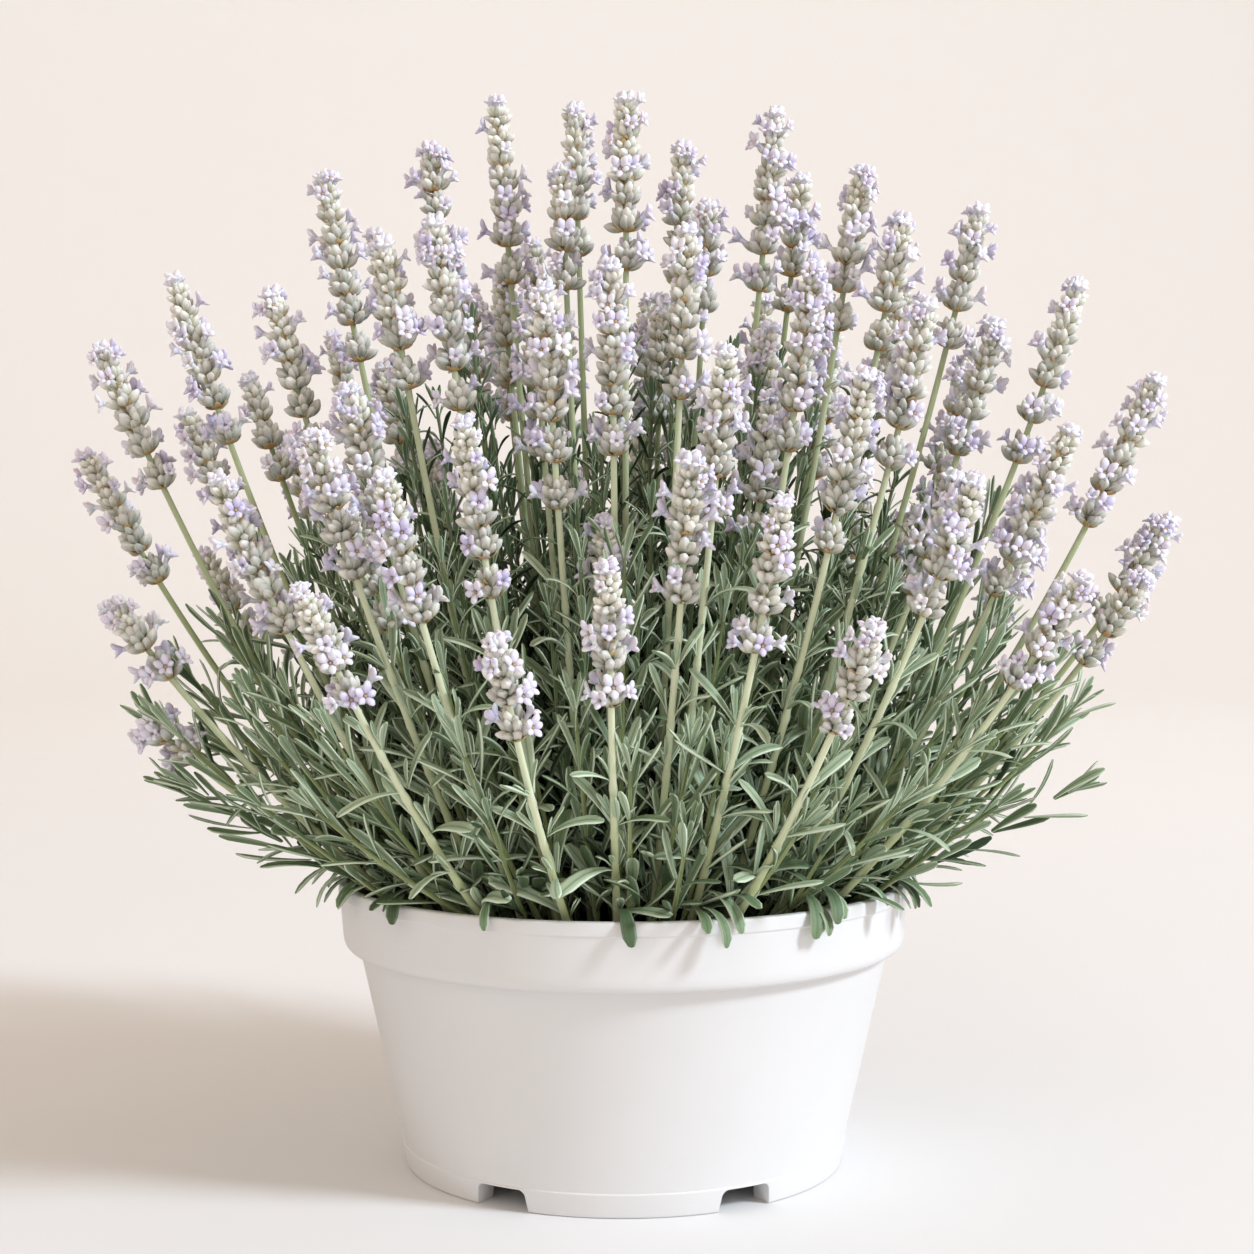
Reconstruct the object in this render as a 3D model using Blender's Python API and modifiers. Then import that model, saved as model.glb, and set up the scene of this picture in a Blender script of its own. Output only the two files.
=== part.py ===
"""Potted lavender: a shallow round plastic pot with potting soil, flower stalks and leafy shoots.

Everything is in metres with +Z up. The origin is the middle of the pot's foot, on the surface it
stands on, and -Y is the front. The flower stalks and shoots fan out from the middle of the soil, so
that none of them crosses another.
"""

import math

import bmesh
import bpy
from mathutils import Matrix, Vector

MM = 0.001
GAP = 0.3 * MM

# The pot
POT_HEIGHT = 114.5 * MM
RIM_RADIUS = 115.0 * MM
LIP_HEIGHT = 5.0 * MM
LIP_PROUD = 0.6 * MM
BAND_HEIGHT = 20.4 * MM
BAND_LOW_RADIUS = 112.8 * MM
BAND_ROUND = 6.0 * MM
BODY_TOP_RADIUS = 106.8 * MM
FOOT_RADIUS = 89.4 * MM
FOOT_HEIGHT = 9.2 * MM
FOOT_PROUD = 0.4 * MM
FOOT_WIDTH = 11.0 * MM
FOOT_ROUND = 1.2 * MM
WALL = 2.4 * MM
FLOOR_THICKNESS = 2.6 * MM
POT_STEPS = 48

NOTCH_ANGLES = (31, 149, 211, 329)
NOTCH_WIDTH_LOW = 25.0 * MM
NOTCH_WIDTH_HIGH = 20.5 * MM
NOTCH_HEIGHT = 8.7 * MM
NOTCH_ROUND = 2.5 * MM
NOTCH_REACH = 34.0 * MM
CENTRE_HOLE_RADIUS = 8.0 * MM
DRAIN_HOLE_RADIUS = 5.0 * MM
DRAIN_HOLE_CIRCLE = 48.0 * MM
DRAIN_HOLES = 6

# The soil
SOIL_TOP = 105.0 * MM
SOIL_FLARE = 0.25

# The flower stalks: each stands on the soil at a share of its tip's distance from the middle
FOOT_SHARE_X = 0.43
FOOT_SHARE_Y = 0.57
BOW = 0.62
STALK_COLLAR = 3.0 * MM
STEM_FOOT_RADIUS = 1.7 * MM
STEM_TOP_RADIUS = 1.3 * MM
STEM_POINTS = 5

# The flower head: a whorl of buds set apart, and the spike above it
WHORL_HEIGHT = 11.0 * MM
WHORL_LOW_RADIUS = 7.5 * MM
WHORL_HIGH_RADIUS = 6.0 * MM
WHORL_LOW_SHARE = 0.35
WHORL_GAP = 7.0 * MM
SPIKE_FOOT_RADIUS = 1.95 * MM
SPIKE_LOW_RADIUS = 8.0 * MM
SPIKE_HIGH_RADIUS = 7.2 * MM
SPIKE_TIP_RADIUS = 2.5 * MM
SPIKE_LOW_SHARE = 0.82
SPIKE_HIGH_SHARE = 0.35
HEAD_EASE = 1.0 * MM

# Tips of the flower stalks, front to back: x, y, z and the length of the flower head, in mm
STALKS = (
    (-5, -158, 242, 55), (-42, -165, 217, 42), (84, -157, 221, 46), (-109, -146, 233, 50),
    (54, -146, 263, 57), (-82, -135, 272, 56), (-55, -130, 291, 65), (36, -122, 316, 60),
    (123, -122, 271, 55), (163, -110, 236, 52), (-110, -112, 287, 56), (86, -112, 309, 67),
    (-144, -108, 272, 65), (-28, -106, 340, 80), (69, -92, 349, 68), (23, -94, 362, 61),
    (111, -84, 336, 62), (-69, -80, 367, 70), (-132, -60, 343, 64), (166, -70, 291, 72),
    (-190, -70, 226, 40), (91, -42, 391, 61), (1, -36, 421, 66), (-204, -27, 325, 63),
    (209, -25, 313, 68), (-219, 8, 285, 66), (222, 8, 258, 56), (-176, -24, 352, 70),
    (178, -24, 350, 76), (140, -18, 380, 56), (-118, -16, 393, 74), (60, -12, 419, 70),
    (-50, -12, 424, 72), (-185, 45, 304, 60), (190, 50, 296, 60), (-105, 48, 380, 64),
    (25, 45, 416, 58), (120, 58, 360, 60), (-40, 78, 380, 62), (62, 92, 356, 62),
    (-150, 92, 296, 56), (158, 100, 278, 56), (-90, 122, 294, 56), (8, 130, 306, 58),
    (100, 138, 258, 52), (-38, 162, 230, 46),
)

# The leafy shoots at the edge of the plant: how far up each spindle a radius is reached
SHOOT_FOOT_RADIUS = 1.5 * MM
SHOOT_COLLAR = 4.0 * MM
SHOOT_SPINDLE = ((0.35, 4.5 * MM), (0.6, 6.0 * MM), (0.85, 4.8 * MM), (1.0, 1.8 * MM))

# Leafy shoots: direction in degrees from +X, foot and tip distance from the middle and tip height, mm
SHOOTS = (
    (-17, 92, 186, 160), (27, 96, 162, 158), (71, 95, 134, 160), (94, 94, 132, 158),
    (127, 95, 138, 160), (155, 96, 162, 156), (187, 92, 186, 158), (213, 96, 164, 158),
    (249, 95, 134, 158), (280, 95, 128, 150), (307, 95, 136, 158), (333, 96, 162, 156),
)


def clear_scene():
    for scene_object in list(bpy.data.objects):
        bpy.data.objects.remove(scene_object, do_unlink=True)


def new_collection(name):
    collection = bpy.data.collections.new(name)
    bpy.context.scene.collection.children.link(collection)
    return collection


def new_material(name, color, roughness, metallic=0.0):
    material = bpy.data.materials.new(name)
    material.use_nodes = True
    shader = material.node_tree.nodes["Principled BSDF"]
    shader.inputs["Base Color"].default_value = (*color, 1.0)
    shader.inputs["Roughness"].default_value = roughness
    shader.inputs["Metallic"].default_value = metallic
    return material


def arc(center_r, center_z, radius, start, end, steps):
    """Points of an arc in the profile plane, from start to end in degrees."""
    points = []
    for step in range(steps + 1):
        angle = math.radians(start + (end - start) * step / steps)
        points.append((center_r + radius * math.cos(angle), center_z + radius * math.sin(angle)))
    return points


def turned(name, profile, steps, closed, collection):
    """A solid turned from a profile of (radius, height) points that starts at the top outside."""
    mesh = bpy.data.meshes.new(name)
    edges = [(index, index + 1) for index in range(len(profile) - 1)]
    if closed:
        edges.append((len(profile) - 1, 0))
    mesh.from_pydata([(radius, 0.0, height) for radius, height in profile], edges, [])
    solid = bpy.data.objects.new(name, mesh)
    collection.objects.link(solid)
    screw = solid.modifiers.new("turn", "SCREW")
    screw.angle = 2 * math.pi
    screw.steps = steps
    screw.render_steps = steps
    screw.use_merge_vertices = True
    screw.merge_threshold = 0.01 * MM
    screw.use_smooth_shade = True
    return solid


def pot_profile():
    """Down the outside from the rim, across the foot ring, and up the inside."""
    band_low = POT_HEIGHT - BAND_HEIGHT
    lip_low = POT_HEIGHT - LIP_HEIGHT
    floor_low = FOOT_HEIGHT
    floor_high = FOOT_HEIGHT + FLOOR_THICKNESS
    foot_inner = FOOT_RADIUS - FOOT_WIDTH
    profile = arc(RIM_RADIUS - FOOT_ROUND, POT_HEIGHT - FOOT_ROUND, FOOT_ROUND, 90, 0, 3)
    profile += [(RIM_RADIUS, lip_low), (RIM_RADIUS - LIP_PROUD, lip_low - LIP_PROUD)]
    profile += arc(BAND_LOW_RADIUS - BAND_ROUND, band_low, BAND_ROUND, 0, -80, 4)
    profile += [(BODY_TOP_RADIUS, band_low - BAND_ROUND)]
    profile += [(FOOT_RADIUS, FOOT_HEIGHT + FOOT_PROUD), (FOOT_RADIUS + FOOT_PROUD, FOOT_HEIGHT)]
    profile += arc(FOOT_RADIUS - 2 * FOOT_ROUND, FOOT_ROUND, FOOT_ROUND, 0, -90, 3)
    profile += [(foot_inner, 0.0), (foot_inner + FOOT_PROUD, floor_low)]
    profile += [(CENTRE_HOLE_RADIUS, floor_low), (CENTRE_HOLE_RADIUS, floor_high)]
    profile += [(inner_radius(floor_high), floor_high)]
    profile += [(BODY_TOP_RADIUS - WALL, band_low - BAND_ROUND)]
    profile += [(RIM_RADIUS - 2 * WALL, lip_low), (RIM_RADIUS - 2 * WALL + FOOT_ROUND, POT_HEIGHT)]
    return profile


def inner_radius(height):
    """Radius of the pot's inside, below its rim band, at a height."""
    low = FOOT_HEIGHT
    high = POT_HEIGHT - BAND_HEIGHT - BAND_ROUND
    share = (height - low) / (high - low)
    return FOOT_RADIUS + (BODY_TOP_RADIUS - FOOT_RADIUS) * share - WALL


def drain_cutters(collection):
    """Wedge-shaped notches through the foot ring, and round holes through the floor."""
    for index, angle in enumerate(NOTCH_ANGLES):
        shape = bmesh.new()
        bmesh.ops.create_cube(shape, size=1.0)
        for vert in shape.verts:
            top = vert.co.z > 0
            width = NOTCH_WIDTH_HIGH if top else NOTCH_WIDTH_LOW
            vert.co = Vector((vert.co.x * NOTCH_REACH, vert.co.y * width, 0.0))
            vert.co.z = NOTCH_HEIGHT if top else -NOTCH_HEIGHT
        upper = [edge for edge in shape.edges if all(v.co.z > 0 for v in edge.verts)]
        radial = [edge for edge in upper if abs(edge.verts[0].co.x - edge.verts[1].co.x) > NOTCH_ROUND]
        bmesh.ops.bevel(shape, geom=radial, offset=NOTCH_ROUND, segments=3, profile=0.5, affect="EDGES")
        turn = Matrix.Rotation(math.radians(angle - 90), 4, "Z")
        outward = Matrix.Translation((FOOT_RADIUS, 0.0, 0.0))
        add_cutter(f"notch_cutter_{index + 1}", shape, turn @ outward, collection)
    for index in range(DRAIN_HOLES):
        shape = bmesh.new()
        bmesh.ops.create_cone(
            shape, cap_ends=True, segments=16, radius1=DRAIN_HOLE_RADIUS, radius2=DRAIN_HOLE_RADIUS,
            depth=4 * FLOOR_THICKNESS,
        )
        turn = Matrix.Rotation(2 * math.pi * index / DRAIN_HOLES, 4, "Z")
        outward = Matrix.Translation((DRAIN_HOLE_CIRCLE, 0.0, FOOT_HEIGHT + FLOOR_THICKNESS / 2))
        add_cutter(f"hole_cutter_{index + 1}", shape, turn @ outward, collection)


def add_cutter(name, shape, matrix, collection):
    mesh = bpy.data.meshes.new(name)
    shape.to_mesh(mesh)
    shape.free()
    cutter = bpy.data.objects.new(name, mesh)
    cutter.matrix_world = matrix
    cutter.display_type = "WIRE"
    cutter.hide_render = True
    collection.objects.link(cutter)


def make_pot(collection, cutters):
    pot = turned("pot", pot_profile(), POT_STEPS, True, collection)
    drain_cutters(cutters)
    cut = pot.modifiers.new("drainage", "BOOLEAN")
    cut.operation = "DIFFERENCE"
    cut.solver = "EXACT"
    cut.operand_type = "COLLECTION"
    cut.collection = cutters
    pot.data.materials.append(new_material("white_plastic", (0.83, 0.81, 0.79), 0.5))
    return pot


def make_soil(collection):
    """The soil fills the pot up to just below its rim, a hair clear of the wall and the floor."""
    floor = FOOT_HEIGHT + FLOOR_THICKNESS + GAP
    bend = POT_HEIGHT - BAND_HEIGHT - BAND_ROUND
    top_radius = inner_radius(bend) + (SOIL_TOP - bend) * SOIL_FLARE
    profile = [(0.0, SOIL_TOP), (top_radius - GAP, SOIL_TOP)]
    profile += [(inner_radius(bend) - 2 * GAP, bend), (inner_radius(floor) - 2 * GAP, floor)]
    profile += [(0.0, floor)]
    soil = turned("soil", profile, POT_STEPS, False, collection)
    soil.data.materials.append(new_material("potting_soil", (0.035, 0.025, 0.018), 0.95))
    return soil


def tube(name, points, radii, collection, material):
    """A round stem whose thickness changes along its points, closed at both ends."""
    curve = bpy.data.curves.new(name, "CURVE")
    curve.dimensions = "3D"
    curve.bevel_depth = MM
    curve.bevel_resolution = 1
    curve.use_fill_caps = True
    spline = curve.splines.new("POLY")
    spline.points.add(len(points) - 1)
    for knot, point, radius in zip(spline.points, points, radii):
        knot.co = (*point, 1.0)
        knot.radius = radius / MM
    curve.materials.append(material)
    stem = bpy.data.objects.new(name, curve)
    collection.objects.link(stem)
    return stem


def bowed(foot, tip, share):
    """A point at a share of the way up a stem that leans outwards and then turns upwards."""
    middle = Vector((
        foot.x + (tip.x - foot.x) * BOW,
        foot.y + (tip.y - foot.y) * BOW,
        (foot.z + tip.z) / 2,
    ))
    return foot.lerp(middle, share).lerp(middle.lerp(tip, share), share)


def make_stalk(index, tip_x, tip_y, tip_z, head, collection, material):
    """A flower stalk: stem, one whorl of buds set apart, and the spike above it."""
    tip = Vector((tip_x, tip_y, tip_z)) * MM
    floor = Vector((tip.x * FOOT_SHARE_X, tip.y * FOOT_SHARE_Y, SOIL_TOP + GAP))
    foot = floor + Vector((0.0, 0.0, STALK_COLLAR))
    length = (tip - foot).length
    spike = head * MM - WHORL_HEIGHT - WHORL_GAP
    head_parts = (
        (head * MM + HEAD_EASE, STEM_TOP_RADIUS),
        (head * MM - WHORL_HEIGHT * WHORL_LOW_SHARE, WHORL_LOW_RADIUS),
        (head * MM - WHORL_HEIGHT, WHORL_HIGH_RADIUS),
        (spike + WHORL_GAP - 2 * HEAD_EASE, STEM_TOP_RADIUS),
        (spike, SPIKE_FOOT_RADIUS),
        (spike * SPIKE_LOW_SHARE, SPIKE_LOW_RADIUS),
        (spike * SPIKE_HIGH_SHARE, SPIKE_HIGH_RADIUS),
        (0.0, SPIKE_TIP_RADIUS),
    )
    head_share = head_parts[0][0] / length
    points = [floor, foot]
    radii = [STEM_FOOT_RADIUS, STEM_FOOT_RADIUS]
    for step in range(1, STEM_POINTS):
        share = (1 - head_share) * step / STEM_POINTS
        points.append(bowed(foot, tip, share))
        radii.append(STEM_FOOT_RADIUS + (STEM_TOP_RADIUS - STEM_FOOT_RADIUS) * share)
    for below_tip, radius in head_parts:
        points.append(bowed(foot, tip, 1 - below_tip / length))
        radii.append(radius)
    return tube(f"flower_stalk_{index:02d}", points, radii, collection, material)


def make_shoot(index, direction, foot_reach, tip_reach, tip_height, collection, material):
    """A leafy shoot that leans out over the rim, as the plain spindle that its leaves fill."""
    angle = math.radians(direction)
    outward = Vector((math.cos(angle), math.sin(angle), 0.0))
    floor = outward * foot_reach * MM + Vector((0.0, 0.0, SOIL_TOP + GAP))
    foot = floor + Vector((0.0, 0.0, SHOOT_COLLAR))
    tip = outward * tip_reach * MM + Vector((0.0, 0.0, tip_height * MM))
    points = [floor, foot]
    radii = [SHOOT_FOOT_RADIUS, SHOOT_FOOT_RADIUS]
    for share, radius in SHOOT_SPINDLE:
        points.append(foot.lerp(tip, share))
        radii.append(radius)
    return tube(f"leafy_shoot_{index:02d}", points, radii, collection, material)


def main():
    clear_scene()
    plant = new_collection("potted_lavender")
    cutters = new_collection("cutters")
    make_pot(plant, cutters)
    make_soil(plant)
    bud_green = new_material("flower_stalk", (0.36, 0.37, 0.38), 0.7)
    leaf_green = new_material("lavender_leaf", (0.10, 0.17, 0.09), 0.65)
    for index, (tip_x, tip_y, tip_z, head) in enumerate(STALKS):
        make_stalk(index + 1, tip_x, tip_y, tip_z, head, plant, bud_green)
    for index, (direction, foot_reach, tip_reach, tip_height) in enumerate(SHOOTS):
        make_shoot(index + 1, direction, foot_reach, tip_reach, tip_height, plant, leaf_green)


main()
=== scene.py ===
# %% [markdown]
# # A potted lavender
#
# A flowering lavender in a shallow white plastic pan. The pot, the soil, the places of the flower
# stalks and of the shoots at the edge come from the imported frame. This script gives each of them
# its real surface: ribbed buds, lilac flowers, narrow rolled leaves, crumbly soil and moulded
# plastic.
#
# The plant is thousands of small alike pieces, so each kind is shaped once, as a small closed body,
# and then set many times along the stems with its own turn, size and tone.

# %% Load the frame
import math

import bmesh
import bpy
import numpy as np
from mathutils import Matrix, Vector, noise


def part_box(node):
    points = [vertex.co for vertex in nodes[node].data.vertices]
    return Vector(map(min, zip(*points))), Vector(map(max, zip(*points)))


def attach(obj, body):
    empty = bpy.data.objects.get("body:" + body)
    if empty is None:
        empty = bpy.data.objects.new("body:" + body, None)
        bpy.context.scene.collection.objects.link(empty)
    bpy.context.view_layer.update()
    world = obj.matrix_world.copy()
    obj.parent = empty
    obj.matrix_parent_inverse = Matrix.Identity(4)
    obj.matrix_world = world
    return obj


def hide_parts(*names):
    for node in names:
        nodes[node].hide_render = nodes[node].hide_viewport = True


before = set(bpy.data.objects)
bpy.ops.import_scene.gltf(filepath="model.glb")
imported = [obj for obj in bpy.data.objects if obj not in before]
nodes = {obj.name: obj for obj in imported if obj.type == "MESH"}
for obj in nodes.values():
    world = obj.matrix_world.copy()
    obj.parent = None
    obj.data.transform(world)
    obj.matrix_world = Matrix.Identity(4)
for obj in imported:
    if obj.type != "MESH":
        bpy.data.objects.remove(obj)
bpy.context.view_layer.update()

MM = 0.001
UP = Vector((0.0, 0.0, 1.0))
chance = np.random.default_rng(11)

# %% [markdown]
# ## The camera and the studio
#
# The pot stands a little under a metre away and the camera looks at it almost level, so the rim
# shows as a thin ellipse. The studio is one seamless pale bowl: a floor that curves up into a wall
# all round, which leaves no horizon behind the plant from any side.

# %% Camera
CAMERA_DISTANCE = 0.89
CAMERA_HEIGHT = 0.25
CAMERA_ASIDE = 0.0013
CAMERA_DIP = math.radians(2.26)
CAMERA_LENS = 63.2
CAMERA_NEAR = 0.01

camera_data = bpy.data.cameras.new("camera")
camera_data.lens = CAMERA_LENS
camera_data.clip_start = CAMERA_NEAR
camera = bpy.data.objects.new("camera", camera_data)
camera.location = (CAMERA_ASIDE, -CAMERA_DISTANCE, CAMERA_HEIGHT)
camera.rotation_euler = (math.pi / 2 - CAMERA_DIP, 0.0, 0.0)
bpy.context.scene.collection.objects.link(camera)
bpy.context.scene.camera = camera
bpy.context.scene.view_settings.view_transform = "Standard"

# %% [markdown]
# ## Mixing a material
#
# A material is a web of nodes. To keep its sums readable, a small class wraps the number that comes
# out of a node, so that `1 - groove * 0.5` adds the Math nodes by itself. Everything else, from a
# noise to a colour ramp, comes from one method that takes the node's type, its settings and what
# its sockets are fed.

# %% The paint box
class Amount:
    """A number that varies over a surface; sums on it add Math nodes."""

    def __init__(self, paint, socket):
        self.paint = paint
        self.socket = socket

    def sum(self, operation, *values):
        return self.paint.node("ShaderNodeMath", {"operation": operation}, *values).amount()

    def __add__(self, other):
        return self.sum("ADD", self, other)

    def __rsub__(self, other):
        return self.sum("SUBTRACT", other, self)

    def __mul__(self, other):
        return self.sum("MULTIPLY", self, other)

    __radd__ = __add__
    __rmul__ = __mul__

    def size(self):
        return self.sum("ABSOLUTE", self)

    def between(self, low, high):
        """0 up to low, 1 from high on, and a soft rise in between."""
        return self.paint.node(
            "ShaderNodeMapRange", {"interpolation_type": "SMOOTHSTEP"},
            Value=self, From_Min=low, From_Max=high,
        ).amount("Result")


class Made:
    """A node that was added, and short ways to its outputs."""

    def __init__(self, paint, item):
        self.paint = paint
        self.item = item

    def amount(self, output=0):
        return Amount(self.paint, self.item.outputs[output])

    def colour(self, output=0):
        return self.item.outputs[output]


class Paint:
    """A material being mixed around one Principled shader."""

    def __init__(self, name, **sockets):
        self.material = bpy.data.materials.new(name)
        self.material.use_nodes = True
        self.tree = self.material.node_tree
        self.shader = self.tree.nodes["Principled BSDF"]
        self.feed(self.shader, sockets)

    def feed(self, item, sockets):
        for name, value in sockets.items():
            self.plug(item.inputs[name.replace("_", " ")], value)

    def plug(self, socket, value):
        source = getattr(value, "socket", value)
        if isinstance(source, bpy.types.NodeSocket):
            self.tree.links.new(source, socket)
        elif isinstance(source, tuple) and len(source) == 3 and socket.type == "RGBA":
            socket.default_value = (*source, 1.0)
        else:
            socket.default_value = source

    def node(self, kind, settings=None, *values, **sockets):
        item = self.tree.nodes.new(kind)
        for name, value in (settings or {}).items():
            if name == "stops":
                self.set_stops(item.color_ramp, value)
            else:
                setattr(item, name, value)
        for socket, value in zip(item.inputs, values):
            self.plug(socket, value)
        self.feed(item, sockets)
        return Made(self, item)

    def set_stops(self, ramp, stops):
        while len(ramp.elements) < len(stops):
            ramp.elements.new(1.0)
        for element, (place, colour) in zip(ramp.elements, stops):
            element.position = place
            element.color = (*colour, 1.0)

    def carried(self, name):
        """A number that the mesh carries at each point."""
        return self.node("ShaderNodeAttribute", {"attribute_name": name}).amount("Fac")

    def grain(self, scale, detail=3.0, roughness=0.55, stretch=None):
        """Cloudy variation in the piece's own space, from 0 to 1."""
        place = self.node("ShaderNodeTexCoord").colour("Object")
        if stretch:
            place = self.node("ShaderNodeMapping", {}, Vector=place, Scale=stretch).colour("Vector")
        made = self.node(
            "ShaderNodeTexNoise", {}, Vector=place, Scale=scale, Detail=detail, Roughness=roughness
        )
        return made.amount(0)

    def blend(self, share, first, second):
        """A colour between two colours."""
        made = self.node("ShaderNodeMix", {"data_type": "RGBA"})
        for socket, value in zip((0, 6, 7), (share, first, second)):
            self.plug(made.item.inputs[socket], value)
        return made.colour(2)

    def ramp(self, share, *stops):
        return self.node("ShaderNodeValToRGB", {"stops": stops}, Fac=share).colour("Color")

    def relief(self, height, depth, strength=1.0):
        """Fine relief that a height in metres times depth gives the surface."""
        made = self.node("ShaderNodeBump", {}, Height=height, Distance=depth, Strength=strength)
        return made.colour("Normal")

    def finish(self, **sockets):
        self.feed(self.shader, sockets)
        return self.material


# %% [markdown]
# ## Studio bowl and lights
#
# The bowl is a profile turned round the pot: flat floor, a wide curve, a wall. A big soft lamp on
# the right throws the pot's broad shadow to the left, a weaker one fills the front, and a pale sky
# over the open bowl lights everything softly from above.

# %% Floor, wall and lamps
FLOOR_REACH = 2.8
WALL_CURVE = 2.4
WALL_HEIGHT = 4.8
CURVE_STEPS = 16
BOWL_STEPS = 96
PAPER_WHITE = (0.81, 0.80, 0.79)
PAPER_MOTTLE = 0.985
PAPER_CLOUDS = 9.0
MERGE_WITHIN = 0.01 * MM
SKY_COLOUR = (1.0, 0.81, 0.65, 1.0)
SKY_STRENGTH = 0.72
LAMPS = {
    # name: place, aimed at, width across, power in watts, colour
    "key": ((3.36, -1.69, 2.75), (0.0, 0.0, 0.12), 0.95, 183.0, (0.76, 0.87, 1.0)),
    "fill": ((-0.9, -1.9, 1.3), (0.0, 0.0, 0.2), 1.8, 5.5, (1.0, 0.95, 0.90)),
    "wall": ((0.0, 2.0, 3.0), (-0.3, 5.0, 0.7), 2.5, 27.0, (1.0, 0.97, 0.93)),
}


def put_in_scene(name, data):
    """A new object with this data, added to the scene."""
    item = bpy.data.objects.new(name, data)
    bpy.context.scene.collection.objects.link(item)
    return item


def turned(name, profile, steps, material, closed=False):
    """A surface turned from (radius, height) points that run down its outer side."""
    mesh = bpy.data.meshes.new(name)
    edges = [(index, index + 1) for index in range(len(profile) - 1)]
    if closed:
        edges.append((len(profile) - 1, 0))
    mesh.from_pydata([(radius, 0.0, height) for radius, height in profile], edges, [])
    piece = put_in_scene(name, mesh)
    screw = piece.modifiers.new("turn", "SCREW")
    screw.steps = steps
    screw.render_steps = steps
    screw.use_merge_vertices = True
    screw.merge_threshold = MERGE_WITHIN
    piece.data.materials.append(material)
    return piece


def arc(center_r, center_z, radius, start, end, steps):
    """Points of an arc in the profile plane, from start to end in degrees."""
    angles = np.radians(np.linspace(start, end, steps + 1))
    return [(center_r + radius * math.cos(a), center_z + radius * math.sin(a)) for a in angles]


def make_studio():
    paper = Paint("studio_paper", Roughness=0.9)
    mottle = paper.grain(PAPER_CLOUDS)
    colour = paper.blend(mottle, PAPER_WHITE, tuple(PAPER_MOTTLE * part for part in PAPER_WHITE))
    sweep = [(FLOOR_REACH + WALL_CURVE, WALL_HEIGHT)]
    sweep += arc(FLOOR_REACH, WALL_CURVE, WALL_CURVE, 0, -90, CURVE_STEPS)
    sweep += [(0.0, 0.0)]
    bowl = turned("studio_bowl", sweep, BOWL_STEPS, paper.finish(Base_Color=colour))
    bowl.modifiers["turn"].use_smooth_shade = True


def lamp(name, place, aim, size, power, colour):
    data = bpy.data.lights.new(name, "AREA")
    data.shape = "DISK"
    data.size = size
    data.energy = power
    data.color = colour
    light = put_in_scene(name, data)
    light.location = place
    light.rotation_euler = (Vector(aim) - Vector(place)).to_track_quat("-Z", "Y").to_euler()


make_studio()
for name, facts in LAMPS.items():
    lamp(name, *facts)
world = bpy.data.worlds.new("sky")
world.use_nodes = True
sky = world.node_tree.nodes["Background"].inputs
sky["Color"].default_value = SKY_COLOUR
sky["Strength"].default_value = SKY_STRENGTH
bpy.context.scene.world = world

# %% [markdown]
# ## Shaping a small body once
#
# A leaf, a bud and a petal are all a line of rings closed at both ends. `Shape` holds such a body:
# its points, its faces, and at each point how far along and how far across the body it lies, which
# the materials use for margins, midribs and tips. Each also has its own patch of the flat map, so
# that a colour can be printed on it later.

# %% One body from rings
RING_MARGIN = 0.06


class Shape:
    """A closed body made of rings, with two numbers at each point: along it and across it."""

    def __init__(self, rings, start, end, across):
        rings = np.asarray(rings, float)
        count, around = rings.shape[:2]
        self.points = np.vstack([rings.reshape(-1, 3), [start, end]])
        along = np.repeat(np.linspace(RING_MARGIN, 1 - RING_MARGIN, count), around)
        self.along = np.append(along, [0.0, 1.0])
        self.across = np.append(np.tile(across, count), [0.0, 0.0])
        self.faces = []
        self.flat = []
        first, last = count * around, count * around + 1
        for side in range(around):
            beside = (side + 1) % around
            left, right = side / around, (side + 1) / around
            middle = (left + right) / 2
            near, far = RING_MARGIN, 1 - RING_MARGIN
            self.add((first, beside, side), ((middle, 0.0), (right, near), (left, near)))
            for row in range(count - 1):
                low, high = self.along[row * around], self.along[(row + 1) * around]
                corners = (row * around + side, row * around + beside)
                corners += ((row + 1) * around + beside, (row + 1) * around + side)
                self.add(corners, ((left, low), (right, low), (right, high), (left, high)))
            base = (count - 1) * around
            cap = (middle, 1.0), (left, far), (right, far)
            self.add((last, base + side, base + beside), cap)

    def add(self, corners, places):
        self.faces.append(corners)
        self.flat += places


def joined(shapes):
    """Several shapes as one, such as the five lobes of a flower."""
    whole = shapes[0]
    for shape in shapes[1:]:
        start = len(whole.points)
        whole.points = np.vstack([whole.points, shape.points])
        whole.along = np.append(whole.along, shape.along)
        whole.across = np.append(whole.across, shape.across)
        whole.faces += [tuple(start + corner for corner in face) for face in shape.faces]
        whole.flat += shape.flat
    return whole


# %% [markdown]
# ## Setting the same body many times
#
# `grow` takes a list of settings, each a shape with its place, turn, size, tone and material, and
# makes one mesh of them. The numbers are handled for all bodies of a shape at once, which keeps
# some ten thousand leaves and buds quick to make.

# %% Many bodies in one mesh
CELL_MARGIN = 0.06


def around_circle(count):
    """Evenly spaced angles round a full turn, in radians."""
    return np.linspace(0, 2 * math.pi, count, endpoint=False)


def turn_to(direction, upper):
    """The turn that lays a body's length along direction with its upper face towards upper."""
    length = Vector(direction).normalized()
    broad = Vector(upper).cross(length)
    broad = broad.normalized() if broad.length > 1e-6 else length.orthogonal().normalized()
    face = length.cross(broad)
    return np.array([broad, face, length]).T


def setting(shape, place, direction, upper, size, width=1.0, tone=0.5, material=0):
    """One body: size is its length, width stretches it sideways."""
    turn = turn_to(direction, upper) * np.array([size * width, size, size])
    return shape, turn, np.array(place), tone, material


POT_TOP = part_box("pot")[1].z
POT_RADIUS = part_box("pot")[1].x
RIM_THICK = 6.5 * MM
RIM_CLEAR = 0.5 * MM


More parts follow.
